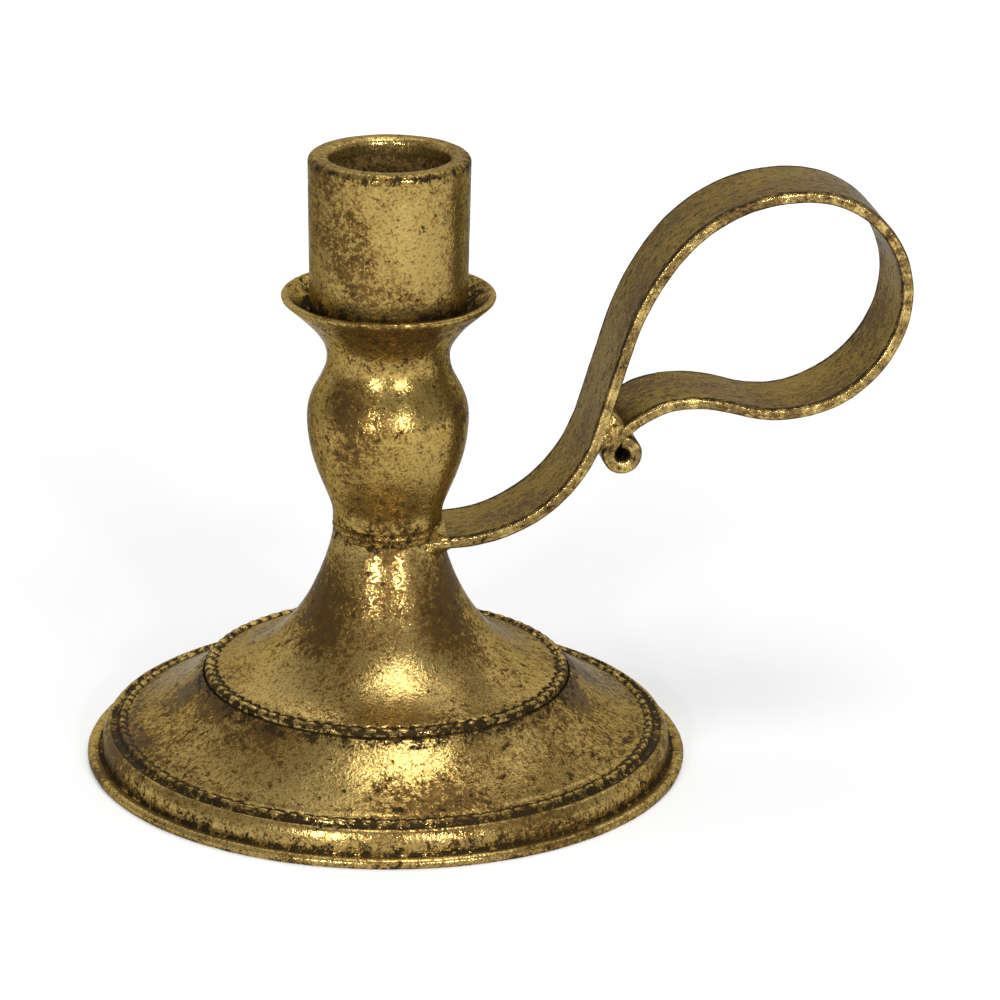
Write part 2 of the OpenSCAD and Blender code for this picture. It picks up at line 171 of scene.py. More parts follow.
def antique_gilt(name, leaf, ground, patches_and_painted_light=(), bare_by=0.0, shift=0.0, follow=None, stretch=(1, 1, 1)):
    """Gold leaf laid by hand over a brown ground on brass, rubbed through and toned
    brown: bright metal broken by ragged brown patches, dark pinholes and patina in every
    hollow, and fine enough relief to break each highlight into sparks. Each patch given is x, y,
    z, a reach in millimetres and how much more (+) or less (-) of the leaf is gone there. Besides
    worn patches, they keep leaf where light falls on the piece, a painted highlight, and take it
    off where shade falls, a painted shade."""
    material = bpy.data.materials.new(name)
    material.use_nodes = True
    tree = material.node_tree
    tree.nodes.clear()
    here = add(tree, "ShaderNodeTexCoord").outputs["Object"]
    wear = add(tree, "ShaderNodeAttribute", attribute_name="wear").outputs["Fac"]
    spot = add(tree, "ShaderNodeAttribute", attribute_name=follow).outputs["Vector"] if follow else here
    spot = add(tree, "ShaderNodeMapping", {"Vector": spot, "Location": (shift, -shift, 2 * shift),
                                           "Scale": stretch})
    # Clouds of wear over 20 mm, ragged flakes of two, veins under one and fine grit
    cloud = add(tree, "ShaderNodeTexNoise", {"Vector": spot, "Scale": per(20), "Detail": 1.0})
    flake = add(tree, "ShaderNodeTexNoise", {"Vector": spot, "Scale": per(2.4), "Detail": 5.0,
                                             "Roughness": 0.66, "Distortion": 0.4})
    vein = add(tree, "ShaderNodeTexNoise", {"Vector": spot, "Scale": per(0.8), "Detail": 3.0,
                                            "Roughness": 0.6, "Distortion": 1.0})
    grit = add(tree, "ShaderNodeTexNoise", {"Vector": spot, "Scale": per(0.55), "Detail": 2.0})
    worn = add(tree, "ShaderNodeMath", {0: cloud, 1: 0.6, 2: -0.3}, operation="MULTIPLY_ADD")
    worn = add(tree, "ShaderNodeMath", {0: flake, 1: 0.8, 2: worn}, operation="MULTIPLY_ADD")
    worn = add(tree, "ShaderNodeMath", {0: vein, 1: 1.2, 2: worn}, operation="MULTIPLY_ADD")
    worn = add(tree, "ShaderNodeMath", {0: wear, 1: -0.16, 2: worn}, operation="MULTIPLY_ADD")
    # Each patch moves the leaf's edge: worn patches, and also painted highlight where leaf is kept in the light and
    # painted shade where it is taken off in shade
    for x, y, z, reach, amount in patches_and_painted_light:
        away = add(tree, "ShaderNodeVectorMath", {0: here, 1: (x * MM, y * MM, z * MM)},
                   operation="DISTANCE").outputs["Value"]
        near = add(tree, "ShaderNodeMapRange", {"Value": away, "From Min": 0.0,
                                                "From Max": 1.3 * reach * MM, "To Min": amount,
                                                "To Max": 0.0}, interpolation_type="SMOOTHSTEP")
        worn = add(tree, "ShaderNodeMath", {0: worn, 1: near}, operation="ADD")
    edge = 1.08 - bare_by
    toned = add(tree, "ShaderNodeMapRange", {"Value": worn, "From Min": edge - 0.26, "From Max": edge,
                                             "To Max": 0.5})
    bare = add(tree, "ShaderNodeMapRange", {"Value": worn, "From Min": edge - 0.02, "From Max": edge + 0.035})
    deep = add(tree, "ShaderNodeMapRange", {"Value": worn, "From Min": edge + 0.03, "From Max": edge + 0.22})
    # Patina fills the hollows, its border as ragged as the flakes
    hollow = add(tree, "ShaderNodeMath", {0: vein, 1: 2.6, 2: -3.05}, operation="MULTIPLY_ADD")
    hollow = add(tree, "ShaderNodeMath", {0: flake, 1: 3.5, 2: hollow}, operation="MULTIPLY_ADD")
    hollow = add(tree, "ShaderNodeMath", {0: hollow, 1: wear}, operation="SUBTRACT")
    hollow = add(tree, "ShaderNodeMapRange", {"Value": hollow, "From Min": 0.4, "From Max": 0.75})
    pinhole = add(tree, "ShaderNodeMapRange", {"Value": grit, "From Min": 0.53, "From Max": 0.65, "To Max": 0.7})
    rubbed = add(tree, "ShaderNodeMapRange", {"Value": wear, "From Min": 0.1, "From Max": 0.5})
    tone = add(tree, "ShaderNodeMix", {0: rubbed, 6: linear(leaf), 7: linear(RUBBED)}, data_type="RGBA").outputs[2]
    tone = add(tree, "ShaderNodeMix", {0: toned, 6: tone, 7: linear(ground)}, data_type="RGBA").outputs[2]
    tone = add(tree, "ShaderNodeMix", {0: pinhole, 6: tone, 7: linear(ground)}, data_type="RGBA").outputs[2]
    under = add(tree, "ShaderNodeMix", {0: deep, 6: linear(ground), 7: linear(UMBER)}, data_type="RGBA").outputs[2]
    tone = add(tree, "ShaderNodeMix", {0: bare, 6: tone, 7: under}, data_type="RGBA").outputs[2]
    tone = add(tree, "ShaderNodeMix", {0: hollow, 6: tone, 7: linear(PATINA)}, data_type="RGBA").outputs[2]
    metal = add(tree, "ShaderNodeMapRange", {"Value": bare, "To Min": 0.87, "To Max": 0.7})
    metal = add(tree, "ShaderNodeMath", {0: deep, 1: -0.1, 2: metal}, operation="MULTIPLY_ADD")
    film = add(tree, "ShaderNodeAttribute", attribute_name="film").outputs["Fac"]
    film = add(tree, "ShaderNodeMath", {0: flake, 1: film}, operation="MULTIPLY")
    film = add(tree, "ShaderNodeMapRange", {"Value": film, "From Min": 0.36, "From Max": 0.42})
    soot = add(tree, "ShaderNodeMapRange", {"Value": vein, "From Min": 0.42, "From Max": 0.6})
    soot = add(tree, "ShaderNodeMix", {0: soot, 6: linear(OLD_WAX), 7: linear(PATINA)}, data_type="RGBA").outputs[2]
    tone = add(tree, "ShaderNodeMix", {0: film, 6: tone, 7: soot}, data_type="RGBA").outputs[2]
    metal = add(tree, "ShaderNodeMath", {0: metal, 1: film}, operation="SUBTRACT", use_clamp=True)
    rough = add(tree, "ShaderNodeMapRange", {"Value": vein, "From Min": 0.35, "From Max": 0.65,
                                             "To Min": 0.12, "To Max": 0.34})
    rough = add(tree, "ShaderNodeMath", {0: bare, 1: 0.16, 2: rough}, operation="MULTIPLY_ADD")
    rough = add(tree, "ShaderNodeMath", {0: hollow, 1: 0.2, 2: rough}, operation="MULTIPLY_ADD")
    height = add(tree, "ShaderNodeMath", {0: bare, 1: -0.25, 2: grit}, operation="MULTIPLY_ADD")
    height = add(tree, "ShaderNodeMath", {0: vein, 1: 0.6, 2: height}, operation="MULTIPLY_ADD")
    height = add(tree, "ShaderNodeMath", {0: flake, 1: 1.5, 2: height}, operation="MULTIPLY_ADD")
    bump = add(tree, "ShaderNodeBump", {"Strength": 1.0, "Distance": 0.06 * MM, "Height": height})
    gilding = add(tree, "ShaderNodeBsdfPrincipled", {"Base Color": tone, "Metallic": metal, "Roughness": rough,
                                                     "Normal": bump, "Specular IOR Level": 0.35,
                                                     "Specular Tint": linear("#c2b8a0")})
    add(tree, "ShaderNodeOutputMaterial", {"Surface": gilding})
    return material


# Metal worked by hand, as a node tree: pearls struck in a ring with an arc above each, and
# shallow dents all over. Ring Radius is where the pearls' middles lie
worked_metal = bpy.data.node_groups.new("hand-worked metal", "GeometryNodeTree")
worked_metal.is_modifier = True
for label, kind, value in (("Piece", "NodeSocketGeometry", None), ("Pearls", "NodeSocketFloat", 100.0),
                           ("Ring Radius", "NodeSocketFloat", 0.05), ("Pearl Width", "NodeSocketFloat", 0.0013),
                           ("Sink", "NodeSocketFloat", 0.0), ("Arc Depth", "NodeSocketFloat", 0.0),
                           ("Dent Depth", "NodeSocketFloat", 0.0), ("Dent Size", "NodeSocketFloat", 0.006),
                           ("Seed", "NodeSocketFloat", 1.0), ("Finish", "NodeSocketMaterial", None)):
    socket = worked_metal.interface.new_socket(label, in_out="INPUT", socket_type=kind)
    if value is not None:
        socket.default_value = value
worked_metal.interface.new_socket("Piece", in_out="OUTPUT", socket_type="NodeSocketGeometry")
entry = add(worked_metal, "NodeGroupInput").outputs
spot = add(worked_metal, "GeometryNodeInputPosition")
wear, bead, ring = [add(worked_metal, "GeometryNodeInputNamedAttribute", {"Name": mark}, data_type="FLOAT")
                    for mark in ("wear", "bead", "ring")]
axes = add(worked_metal, "ShaderNodeSeparateXYZ", {0: spot}).outputs
flat = add(worked_metal, "ShaderNodeCombineXYZ", {"X": axes["X"], "Y": axes["Y"]})
out = add(worked_metal, "ShaderNodeVectorMath", {0: flat}, operation="LENGTH").outputs["Value"]
turn = add(worked_metal, "ShaderNodeMath", {0: axes["Y"], 1: axes["X"]}, operation="ARCTAN2")
turn = add(worked_metal, "ShaderNodeMath", {0: turn, 1: 1 / (2 * math.pi)}, operation="MULTIPLY")
slip = add(worked_metal, "ShaderNodeTexNoise", {"Vector": spot, "W": entry["Seed"], "Scale": per(4), "Detail": 1.0},
           noise_dimensions="4D")
slip = add(worked_metal, "ShaderNodeMath", {0: slip, 1: 0.9, 2: -0.45}, operation="MULTIPLY_ADD")
count = add(worked_metal, "ShaderNodeMath", {0: turn, 1: entry["Pearls"], 2: slip}, operation="MULTIPLY_ADD")
# How far along the pitch, and how far across the ring, each in units of the pearl's half size
along = add(worked_metal, "ShaderNodeMath", {0: count}, operation="FRACT")
along = add(worked_metal, "ShaderNodeMath", {0: along, 1: 3.0, 2: -1.5}, operation="MULTIPLY_ADD")
across = add(worked_metal, "ShaderNodeMath", {0: out, 1: entry["Ring Radius"]}, operation="SUBTRACT")
across = add(worked_metal, "ShaderNodeMath", {0: across, 1: entry["Pearl Width"]}, operation="DIVIDE")
across = add(worked_metal, "ShaderNodeMath", {0: across, 1: 2.0}, operation="MULTIPLY")
from_middle = add(worked_metal, "ShaderNodeCombineXYZ", {"X": along, "Y": across})
from_middle = add(worked_metal, "ShaderNodeVectorMath", {0: from_middle}, operation="LENGTH").outputs["Value"]
beyond = add(worked_metal, "ShaderNodeMapRange", {"Value": from_middle, "From Min": 0.4, "From Max": 1.3},
             interpolation_type="SMOOTHSTEP")
beyond = add(worked_metal, "ShaderNodeMath", {0: beyond, 1: bead}, operation="MULTIPLY")
hug = add(worked_metal, "ShaderNodeMath", {0: from_middle, 1: 1.5}, operation="SUBTRACT")
hug = add(worked_metal, "ShaderNodeMath", {0: hug}, operation="ABSOLUTE")
hug = add(worked_metal, "ShaderNodeMapRange", {"Value": hug, "From Min": 0.12, "From Max": 0.5, "To Min": 1.0,
                                               "To Max": 0.0}, interpolation_type="SMOOTHSTEP")
hug = add(worked_metal, "ShaderNodeMath", {0: hug, 1: ring}, operation="MULTIPLY")
dent = add(worked_metal, "ShaderNodeMath", {0: 1.0, 1: entry["Dent Size"]}, operation="DIVIDE")
dent = add(worked_metal, "ShaderNodeTexNoise", {"Vector": spot, "W": entry["Seed"], "Scale": dent, "Detail": 2.5,
                                                "Roughness": 0.45}, noise_dimensions="4D")
dent = add(worked_metal, "ShaderNodeMath", {0: dent, 1: 0.5}, operation="SUBTRACT")
lift = add(worked_metal, "ShaderNodeMath", {0: dent, 1: entry["Dent Depth"]}, operation="MULTIPLY")
sink = add(worked_metal, "ShaderNodeMath", {0: beyond, 1: entry["Sink"]}, operation="MULTIPLY")
lift = add(worked_metal, "ShaderNodeMath", {0: lift, 1: sink}, operation="SUBTRACT")
sink = add(worked_metal, "ShaderNodeMath", {0: hug, 1: entry["Arc Depth"]}, operation="MULTIPLY")
lift = add(worked_metal, "ShaderNodeMath", {0: lift, 1: sink}, operation="SUBTRACT")
move = add(worked_metal, "ShaderNodeVectorMath", {0: add(worked_metal, "GeometryNodeInputNormal"), "Scale": lift},
           operation="SCALE")
worn = add(worked_metal, "ShaderNodeMath", {0: hug, 1: -1.5, 2: wear}, operation="MULTIPLY_ADD")
worn = add(worked_metal, "ShaderNodeMath", {0: beyond, 1: -1.1, 2: worn}, operation="MULTIPLY_ADD")
struck = add(worked_metal, "GeometryNodeStoreNamedAttribute", {"Geometry": entry["Piece"], "Name": "wear",
                                                               "Value": worn},
             data_type="FLOAT", domain="POINT")
struck = add(worked_metal, "GeometryNodeSetPosition", {"Geometry": struck, "Offset": move})
struck = add(worked_metal, "GeometryNodeRealizeInstances", {"Geometry": struck})
struck = add(worked_metal, "GeometryNodeSetMaterial", {"Geometry": struck, "Material": entry["Finish"]})
add(worked_metal, "NodeGroupOutput", {"Piece": struck})


def worked(piece, **inputs):
    """The piece with the node tree run on it and its result kept as a plain mesh."""
    modifier = piece.modifiers.new("hand work", "NODES")
    modifier.node_group = worked_metal
    for socket in worked_metal.interface.items_tree:
        key = socket.name.replace(" ", "_").lower()
        if socket.in_out == "INPUT" and key in inputs:
            modifier[socket.identifier] = inputs[key]
    graph = bpy.context.evaluated_depsgraph_get()
    mesh = bpy.data.meshes.new_from_object(piece.evaluated_get(graph))
    piece.modifiers.clear()
    piece.data = mesh


cove_start, cove_end = (OVOLO_IN_R, OVOLO_Z), (LOW_PEARL_R + LOW_PEARL_D / 2, LOW_PEARL_Z)
band_in = (TRUMPET_R + CREVICE_W, BAND_TOP_Z)
band_pull = (BAND_R - band_in[0]) * 0.45
band = [Vector((BAND_R, BAND_Z))] + bow((BAND_R, BAND_Z), 156, band_pull, band_in, 134, band_pull, 26)
floor_z = SHELF_Z - SHEET_T
pan_rows = (
    marked([(FOOT_R - RIM_H / 4, 0), (FOOT_R - RIM_H / 8, 0.15)], -0.6)
    + marked(arc((FOOT_R - RIM_H / 2, RIM_H / 2), RIM_H / 2, -45, 20, 4), -0.1)
    + marked(arc((FOOT_R - RIM_H / 2, RIM_H / 2), RIM_H / 2, 20, 100, 5), 0.3)
    + marked([(55.6, 1.8), (55.3, 1.72)], 0.1)
    + marked([(55.1, 1.55), (54.95, 1.45), (54.8, 1.6), (OVOLO_R, RIM_H)], -0.9)
    + marked([(OVOLO_IN_R + 1.5 * math.cos(a), RIM_H + OVOLO_H * math.sin(a))
              for a in (0.12, 0.24, 0.37, 0.5)], -0.35)
    + marked([(OVOLO_IN_R + 1.5 * math.cos(a), RIM_H + OVOLO_H * math.sin(a))
              for a in (0.65, 0.8, 0.95, 1.1, 1.25, 1.4, math.pi / 2)], 0.1)
    + marked(bow(cove_start, 235, 0.85, cove_end, 100, 0.85, 8), -0.95)
    + marked(arc((LOW_PEARL_R, LOW_PEARL_Z), LOW_PEARL_D / 2, 0, 140, 10), 0.35, bead=1.0)
    + marked([(50.25, 6.92), (50.05, 6.94), (49.85, 6.97), (49.65, 7.0), (49.45, 7.05), (49.25, 7.12),
              (49.05, 7.23)], 0.1, ring=1.0)
    + marked(band[:3], -0.25) + marked(band[3:20], 0.0) + marked(band[20:23], 0.1)
    + marked(band[23:], -0.45)
    + marked([(35.24, 16.7), (35.16, SHELF_Z)], -1.0))
pan_rows = eased(pan_rows, 0.35) + marked(
    [(34.4, SHELF_Z), (20, SHELF_Z), (HOLE_R, SHELF_Z), (HOLE_R, floor_z), (20, floor_z),
     (band_in[0] - SHEET_T / 2, floor_z)], -0.6)
pan_rows += marked([p for p in reversed(beside(band, SHEET_T)) if p.y < floor_z - 0.2][::3], -0.6)
pan_rows += marked([(LOW_PEARL_R, LOW_PEARL_Z - SHEET_T), (OVOLO_IN_R - 0.3, OVOLO_Z - SHEET_T - 0.4),
                    (OVOLO_R - SHEET_T, RIM_H + OVOLO_H / 4), (OVOLO_R - SHEET_T, RIM_H / 2),
                    (FOOT_R - RIM_W, 0)], -0.6)
RUBBED, UMBER, PATINA, OLD_WAX = "#c2a866", "#4e3b1e", "#2d2313", "#7b5f38"
# Besides worn patches, the brown on the left and right where the band runs up to the trumpet, and along the left of the
# rim and lower ring, is painted shade, and the extra leaf on the front of the band is painted highlight
pan_patches_and_painted_light = ((-38, 0, 15, 7, 0.3), (-36, -10, 15.5, 5, 0.22), (34, -14, 16, 6, 0.35), (36, 2, 16, 7, 0.4),
              (-33, -20, 13, 9, 0.06), (-19, -38, 11, 13, -0.12), (-6, -46, 8.5, 10, 0.14), (6, -45, 9, 6, 0.1),
              (20, -38, 10.6, 9, -0.08), (-54, -8, 4, 12, 0.2), (0, -37, 14, 7, -0.12),
              (-52, -6, 7, 5, 0.15), (-49, -18, 7, 5, 0.15), (-44, -28, 7, 5, 0.15), (8, -47, 8, 8, 0.06), (-33, -14, 15.5, 4, 0.24), (-26, -25, 15.5, 4, 0.2))
gilt_pan = antique_gilt("antique gilt on pressed brass", "#b09659", "#664b20", pan_patches_and_painted_light)
foot_pan = turned("foot_pan_gilt", pan_rows, 7 * LOW_PEARLS)
worked(foot_pan, pearls=float(LOW_PEARLS), ring_radius=LOW_PEARL_R * MM, pearl_width=LOW_PEARL_D * MM,
       sink=0.15 * MM, arc_depth=0.18 * MM, dent_depth=0.2 * MM, dent_size=5 * MM, seed=3.0, finish=gilt_pan)
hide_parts("foot_pan")
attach(foot_pan, "root")

# Trumpet foot
# The upper tier is pressed and then spun: an upright edge, its own ring of pearls, and the
# long sweep up to the neck, thin and polished by the spinning tool.
TRUMPET_EDGE_H, TOP_PEARL_D, TOP_PEARLS = 1.0, 1.8, 75
NECK_R, SPIGOT_R, SPIGOT_H = 10.4, 6.05, 3.0
JOINT_Z = SHELF_Z + 28.8
TOP_PEARL_R = TRUMPET_R - TOP_PEARL_D / 2
TOP_PEARL_Z = SHELF_Z + TRUMPET_EDGE_H
SWEEP_R = TRUMPET_R - TOP_PEARL_D - ARC_W
SWEEP_Z = TOP_PEARL_Z + TOP_PEARL_D / 2
sweep = [Vector((SWEEP_R, SWEEP_Z))] + bow((SWEEP_R, SWEEP_Z), 168, (SWEEP_R - NECK_R) * 0.81,
                                           (NECK_R, JOINT_Z), 96, 1.5, 54)
trumpet_rows = (
    marked([(TRUMPET_R - 0.15, SHELF_Z), (TRUMPET_R, SHELF_Z + 0.2), (TRUMPET_R, SHELF_Z + 0.6),
            (TRUMPET_R, TOP_PEARL_Z)], -0.55)
    + marked(arc((TOP_PEARL_R, TOP_PEARL_Z), TOP_PEARL_D / 2, 0, 40, 4), -0.45, bead=0.5)
    + marked(arc((TOP_PEARL_R, TOP_PEARL_Z), TOP_PEARL_D / 2, 40, 140, 9), 0.3, bead=1.0)
    + marked([(33.2, 18.05), (33.0, 18.07), (32.8, 18.09), (32.6, 18.12), (32.4, 18.16), (32.2, 18.22),
              (32.0, 18.3)], 0.1, ring=1.0)
    + marked(sweep[:3], 0.1) + marked(sweep[3:50], 0.1) + marked(sweep[50:], -0.3))
trumpet_rows = eased(trumpet_rows, 0.4) + marked(
    [(SPIGOT_R, JOINT_Z), (SPIGOT_R, JOINT_Z - SPIGOT_H)], -0.6)
trumpet_rows += marked([p for p in reversed(beside(sweep, SHEET_T))
                        if p.y < JOINT_Z - SPIGOT_H and p.x > SPIGOT_R][::4], -0.6)
trumpet_rows += marked([(TRUMPET_R - SHEET_T * 1.8, SHELF_Z)], -0.6)
# Besides worn patches, the brown on both flanks and on the right under the braze web is painted shade, and the extra
# leaf low down the front of the sweep is painted highlight
trumpet_patches_and_painted_light = ((-13, -5, 33, 10, 0.42), (-12, 2, 36, 6, 0.25), (-14, -12, 27, 6, 0.14), (11, -12, 30, 9, 0.36), (20, -14, 21, 6, 0.14),
                  (-2, -11, 45, 4, 0.28), (11, -6, 39, 6, 0.36), (0, -15, 33, 5, -0.04), (-1, -24, 22, 9, -0.3),
                  (-26, -10, 20, 10, -0.1), (-19, -20, 19, 8, -0.1))
gilt_trumpet = antique_gilt("antique gilt on spun brass", "#b1975b", "#664b20", trumpet_patches_and_painted_light, shift=0.17)
trumpet_foot = turned("trumpet_foot_gilt", trumpet_rows, 10 * TOP_PEARLS)
worked(trumpet_foot, pearls=float(TOP_PEARLS), ring_radius=TOP_PEARL_R * MM, pearl_width=TOP_PEARL_D * MM,
       sink=0.15 * MM, arc_depth=0.22 * MM, dent_depth=0.16 * MM, dent_size=5 * MM, seed=8.0,
       finish=gilt_trumpet)
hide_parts("trumpet_foot")
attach(trumpet_foot, "root")

# Stem
# One solid casting, turned on the lathe: ring and neck, bulb, waist, and the flared drip
# collar with the flat seat for the cup. Its spigot drops into the trumpet foot.
NECK_LEN, BULB_R, BULB_RISE, WAIST_R, WAIST_RISE = 4.1, 15.3, 19, 11.6, 12.2
COLLAR_R, COLLAR_RISE, COLLAR_T, SEAT_DEPTH = 20.2, 12, 1.4, 3.6
NECK_Z = JOINT_Z + NECK_LEN
BULB_Z = NECK_Z + BULB_RISE
WAIST_Z = BULB_Z + WAIST_RISE
COLLAR_Z = WAIST_Z + COLLAR_RISE
SEAT_Z = COLLAR_Z - SEAT_DEPTH
CUP_BASE_R = 14.85
stem_rows = (
    marked([(HOLE_R, JOINT_Z - 2.6), (6, JOINT_Z - 2.6), (6, JOINT_Z)], -0.6)
    + marked([(NECK_R - 0.15, JOINT_Z), (NECK_R, JOINT_Z + 0.2)], -0.4)
    + marked(arc((NECK_R + 0.08 - 0.8, JOINT_Z + 1.6), 0.8, -60, 60, 8), -0.25)
    + marked([(NECK_R, JOINT_Z + 2.72), (NECK_R, JOINT_Z + 3.2), (NECK_R, NECK_Z)], -0.25)
    + marked(bow((NECK_R, NECK_Z), 90, 3.5, (BULB_R, BULB_Z), 90, BULB_RISE / 2, 44)[:14], 0.0)
    + marked(bow((NECK_R, NECK_Z), 90, 3.5, (BULB_R, BULB_Z), 90, BULB_RISE / 2, 44)[14:], 0.1)
    + marked(bow((BULB_R, BULB_Z), 90, WAIST_RISE / 2, (WAIST_R, WAIST_Z), 90, WAIST_RISE * 0.4, 30), 0.05)
    + marked(bow((WAIST_R, WAIST_Z), 90, 4.2, (COLLAR_R - 0.2, COLLAR_Z - 1), 43, 4, 30), -0.1)
    + marked(arc((COLLAR_R - 0.45, COLLAR_Z - 0.45), 0.45, -20, 90, 6), 0.25)
    + marked([(COLLAR_R - COLLAR_T + 0.3, COLLAR_Z), (COLLAR_R - COLLAR_T, COLLAR_Z - 0.25)], -0.2)
    + marked([(COLLAR_R - 2.3, COLLAR_Z - 1.0), (17.0, COLLAR_Z - 1.9)], -0.5)
    + marked([(16.2, COLLAR_Z - 2.75), (CUP_BASE_R + 0.6, SEAT_Z + 0.1), (CUP_BASE_R + 0.3, SEAT_Z)], -1.0)
    + marked([(HOLE_R, SEAT_Z)], -0.6))
# Besides worn patches, the brown on the left and right of the bulb and under the collar is painted shade, and the extra
# leaf on the front of the bulb is painted highlight
stem_patches_and_painted_light = ((-10, -10, 75, 6, 0.22), (-9, -12, 68, 6, 0.16), (0, -13, 76, 5, -0.1), (6, -14, 66, 8, -0.14),
               (4, -13, 60, 7, -0.06), (-10, -11, 63, 5, 0.1), (-3, -14, 86, 7, 0.1), (-1, -11, 51, 5, 0.06),
               (-13, -8, 70, 4, -0.08), (12, -8, 71, 5, 0.2), (2, -14, 88, 7, 0.16), (0, -12, 52, 7, 0.1))
gilt_stem = antique_gilt("antique gilt on cast brass", "#ae9453", "#674c21", stem_patches_and_painted_light, shift=0.31)
stem = turned("stem_gilt", eased(stem_rows, 0.5), 384, 50)
worked(stem, dent_depth=0.16 * MM, dent_size=4 * MM, seed=5.0, finish=gilt_stem)
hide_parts("stem")
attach(stem, "root")

# Candle cup
# A thick-walled casting with a rounded flat lip and a straight bore, its leaf kept bright on the
# front as a painted highlight and browner on its left as painted shade. Its floor is countersunk for the head of the
# long screw.
BORE_R, CUP_WALL, LIP_ROUND, BORE_DEPTH, CUP_FLOOR_Z = 11.25, 4, 1.2, 26.2, SEAT_Z + 3
LIP_Z = CUP_FLOOR_Z + BORE_DEPTH
CUP_R = BORE_R + CUP_WALL
cup_side = straight((CUP_BASE_R, SEAT_Z + 1), (CUP_R, LIP_Z), 40)
cup_rows = (
    marked([(HOLE_R, SEAT_Z), (CUP_BASE_R - 1, SEAT_Z)], -0.8)
    + marked(arc((CUP_BASE_R - 1, SEAT_Z + 1), 1, -90, 0, 6), -0.8)
    + marked(cup_side[:4], -0.5) + marked(cup_side[4:-1], 0.1) + marked(cup_side[-1:], -0.4)
    + marked(arc((CUP_R - LIP_ROUND, LIP_Z), LIP_ROUND, 0, 60, 6), -0.55)
    + marked(arc((CUP_R - LIP_ROUND, LIP_Z), LIP_ROUND, 60, 90, 3), 0.1)
    + marked(straight((CUP_R - LIP_ROUND, LIP_Z + LIP_ROUND), (BORE_R + LIP_ROUND, LIP_Z + LIP_ROUND), 6), 0.2)
    + marked(arc((BORE_R + LIP_ROUND, LIP_Z), LIP_ROUND, 90, 180, 8), 0.3)
    + marked(straight((BORE_R, LIP_Z), (BORE_R, LIP_Z - 1.2), 4), 0.4, film=0.5)
    + marked(straight((BORE_R, LIP_Z - 1.4), (BORE_R, CUP_FLOOR_Z), 30), 0.0, film=0.84)
    + marked([(4.25, CUP_FLOOR_Z), (HOLE_R, CUP_FLOOR_Z - 2)], -0.9))
# Besides worn patches, the extra leaf on the front of the cup and on the top of its far bore wall is painted highlight,
# and the brown on its left side is painted shade
cup_patches_and_painted_light = ((2, -15, 110, 9, -0.2), (3, -15, 104, 7, -0.18), (-13, -8, 106, 8, 0.12), (-9, -12, 97, 6, 0.1),
              (0, -15, 95, 6, 0.14), (8, -13, 93, 5, 0.12), (12, -9, 110, 3.5, 0.05),
              (-12, -9, 116, 4, 0.16), (-11, -10, 101, 4, 0.06), (-14, -5, 118, 4, 0.2), (0, 12, 116, 3, -0.3))
gilt_cup = antique_gilt("antique gilt rubbed bright", "#a28a4f", "#634a22", cup_patches_and_painted_light, shift=0.73)
cup = turned("candle_cup_gilt", eased(cup_rows, 0.6), 360, 50)
worked(cup, dent_depth=0.16 * MM, dent_size=4 * MM, seed=6.0, finish=gilt_cup)
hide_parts("candle_cup")
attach(cup, "root")

# Long screw, washer and nut
# Plain zinc-plated steel fasteners: the countersunk screw goes in at the cup's floor and the
# nut and washer under the foot pan draw the stack together.
zinc = bpy.data.materials.new("zinc-plated steel")
zinc.use_nodes = True
zinc_tree = zinc.node_tree
zinc_tree.nodes.clear()
# Electroplated zinc: pale grey with a faint cloudiness that also changes how sharp it mirrors
zinc_spot = add(zinc_tree, "ShaderNodeTexCoord").outputs["Object"]
spangle = add(zinc_tree, "ShaderNodeTexNoise", {"Vector": zinc_spot, "Scale": per(1.5), "Detail": 4.0})
zinc_tone = add(zinc_tree, "ShaderNodeMix", {0: spangle, 6: linear("#b9b8b0"), 7: linear("#8a8a84")},
                data_type="RGBA").outputs[2]
zinc_rough = add(zinc_tree, "ShaderNodeMapRange", {"Value": spangle, "To Min": 0.28, "To Max": 0.5})
zinc_metal = add(zinc_tree, "ShaderNodeBsdfPrincipled", {"Base Color": zinc_tone, "Metallic": 1.0,
                                                         "Roughness": zinc_rough})
add(zinc_tree, "ShaderNodeOutputMaterial", {"Surface": zinc_metal})
for fastener in ("tie_screw", "foot_washer", "foot_nut"):
    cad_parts[fastener].data.materials.clear()
    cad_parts[fastener].data.materials.append(zinc)

# Handle bar
# One flat bar of brass, bent cold over a former into riser, finger loop and small eye, with
# its edges filed round. Hands keep its edges bright, while its faces have gone dull and brown.
BAR_W, BAR_NECK_W, BAR_TAIL_W, BAR_T = 19.2, 16.7, 17.9, 2.2
RISE_R, RISE_A, RISER_LEN = 28.9, 73, 18
EYE_R, EYE_GAP, EYE_ALONG, EYE_IN_A, EYE_TURN = 1.6, 0.6, -2.3, 228, 314


def bend(points, heading, r, a, step=1.2):
    """The path carried on round a bend of radius r and angle a, to the left when positive."""
    s = 1 if a > 0 else -1
    c = points[-1] + s * r * way(heading + 90)
    n = math.ceil(abs(a) / step)
    points += [c + s * r * way(heading + a * i / n - 90) for i in range(1, n + 1)]
    return heading + a


